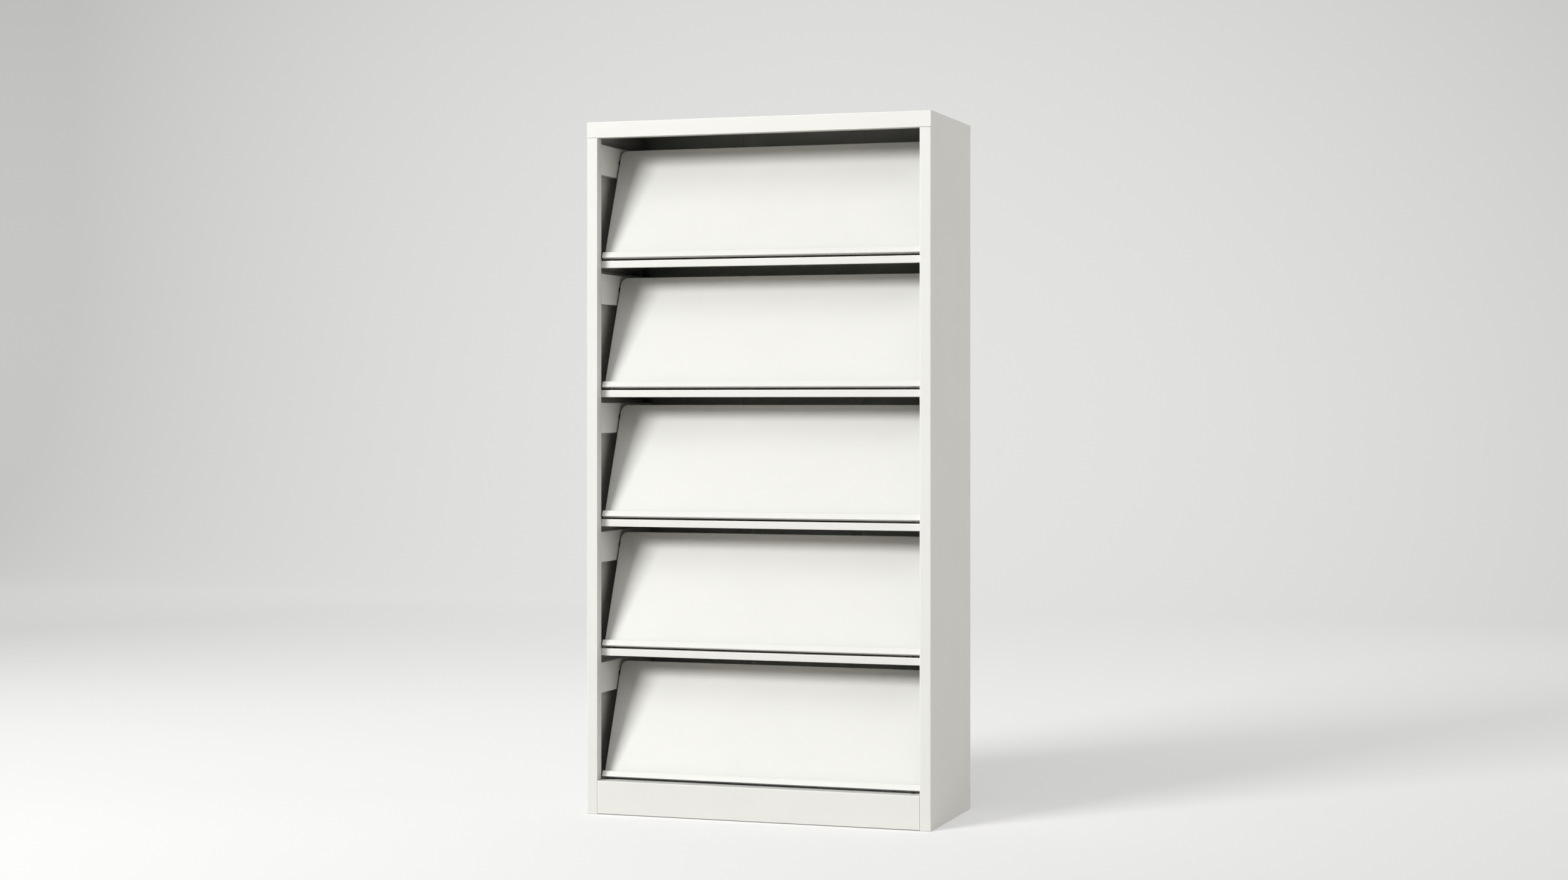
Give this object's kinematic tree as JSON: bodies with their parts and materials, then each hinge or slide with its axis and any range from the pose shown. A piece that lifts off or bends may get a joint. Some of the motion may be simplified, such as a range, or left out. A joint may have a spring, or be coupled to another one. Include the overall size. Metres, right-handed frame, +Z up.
{
  "type": "magazine display cabinet",
  "caption": "Tall sheet-steel cabinet whose bays are closed by leaning display flaps; each flap has a lipped tray, turns up and slides back above the storage space behind it.",
  "frame": {"origin": "centre of the footprint, on the floor", "axes": "+Z up, -Y towards the front of the cabinet, +X to the right seen from the front"},
  "size_m": [0.9, 0.39, 1.75],
  "materials": {
    "body_paint": "satin powder coat",
    "flap_paint": "satin powder coat",
    "rail_paint": "satin powder coat",
    "nylon": "moulded, matt",
    "zinc": "bright zinc plated",
    "rubber": "matt"
  },
  "bodies": {
    "cabinet": {"left_side_panel": "body_paint", "right_side_panel": "body_paint", "top_cap": "body_paint", "back_panel": "body_paint", "kick_plate": "body_paint", "bottom_deck": "body_paint", "shelf_clips": "zinc", "base_rail_left": "zinc", "base_rail_right": "zinc", "foot_pads": "rubber", "foot_studs": "zinc", "foot_nuts": "zinc", "rail_end_stops": "nylon", "flap_bumpers": "rubber", "back_panel_screws": "zinc", "kick_plate_screws": "zinc", "shelf_1": "body_paint", "shelf_2": "body_paint", "shelf_3": "body_paint", "shelf_4": "body_paint", "rail_left_1": "rail_paint", "rail_right_1": "rail_paint", "rail_left_2": "rail_paint", "rail_right_2": "rail_paint", "rail_left_3": "rail_paint", "rail_right_3": "rail_paint", "rail_left_4": "rail_paint", "rail_right_4": "rail_paint", "rail_left_5": "rail_paint", "rail_right_5": "rail_paint"},
    "shoes_1": {"slide_shoes_1": "nylon", "pivot_studs_1": "zinc", "pivot_washers_1": "nylon", "stud_clips_1": "zinc"},
    "flap_1": {"flap_1": "flap_paint"},
    "shoes_2": {"slide_shoes_2": "nylon", "pivot_studs_2": "zinc", "pivot_washers_2": "nylon", "stud_clips_2": "zinc"},
    "flap_2": {"flap_2": "flap_paint"},
    "shoes_3": {"slide_shoes_3": "nylon", "pivot_studs_3": "zinc", "pivot_washers_3": "nylon", "stud_clips_3": "zinc"},
    "flap_3": {"flap_3": "flap_paint"},
    "shoes_4": {"slide_shoes_4": "nylon", "pivot_studs_4": "zinc", "pivot_washers_4": "nylon", "stud_clips_4": "zinc"},
    "flap_4": {"flap_4": "flap_paint"},
    "shoes_5": {"slide_shoes_5": "nylon", "pivot_studs_5": "zinc", "pivot_washers_5": "nylon", "stud_clips_5": "zinc"},
    "flap_5": {"flap_5": "flap_paint"}
  },
  "joints": [
    {"name": "flap_1_slide", "type": "slide", "parent": "cabinet", "child": "shoes_1", "axis": [0, 1, 0], "range_m": [0, 0.18]},
    {"name": "flap_1_lift", "type": "hinge", "parent": "shoes_1", "child": "flap_1", "pos_m": [0, -0.04231, 1.65705], "axis": [-1, 0, 0], "range_deg": [0, 67]},
    {"name": "flap_2_slide", "type": "slide", "parent": "cabinet", "child": "shoes_2", "axis": [0, 1, 0], "range_m": [0, 0.18]},
    {"name": "flap_2_lift", "type": "hinge", "parent": "shoes_2", "child": "flap_2", "pos_m": [0, -0.04231, 1.32935], "axis": [-1, 0, 0], "range_deg": [0, 67]},
    {"name": "flap_3_slide", "type": "slide", "parent": "cabinet", "child": "shoes_3", "axis": [0, 1, 0], "range_m": [0, 0.18]},
    {"name": "flap_3_lift", "type": "hinge", "parent": "shoes_3", "child": "flap_3", "pos_m": [0, -0.04231, 1.00165], "axis": [-1, 0, 0], "range_deg": [0, 67]},
    {"name": "flap_4_slide", "type": "slide", "parent": "cabinet", "child": "shoes_4", "axis": [0, 1, 0], "range_m": [0, 0.18]},
    {"name": "flap_4_lift", "type": "hinge", "parent": "shoes_4", "child": "flap_4", "pos_m": [0, -0.04231, 0.67395], "axis": [-1, 0, 0], "range_deg": [0, 67]},
    {"name": "flap_5_slide", "type": "slide", "parent": "cabinet", "child": "shoes_5", "axis": [0, 1, 0], "range_m": [0, 0.18]},
    {"name": "flap_5_lift", "type": "hinge", "parent": "shoes_5", "child": "flap_5", "pos_m": [0, -0.04231, 0.34175], "axis": [-1, 0, 0], "range_deg": [0, 67]}
  ]
}
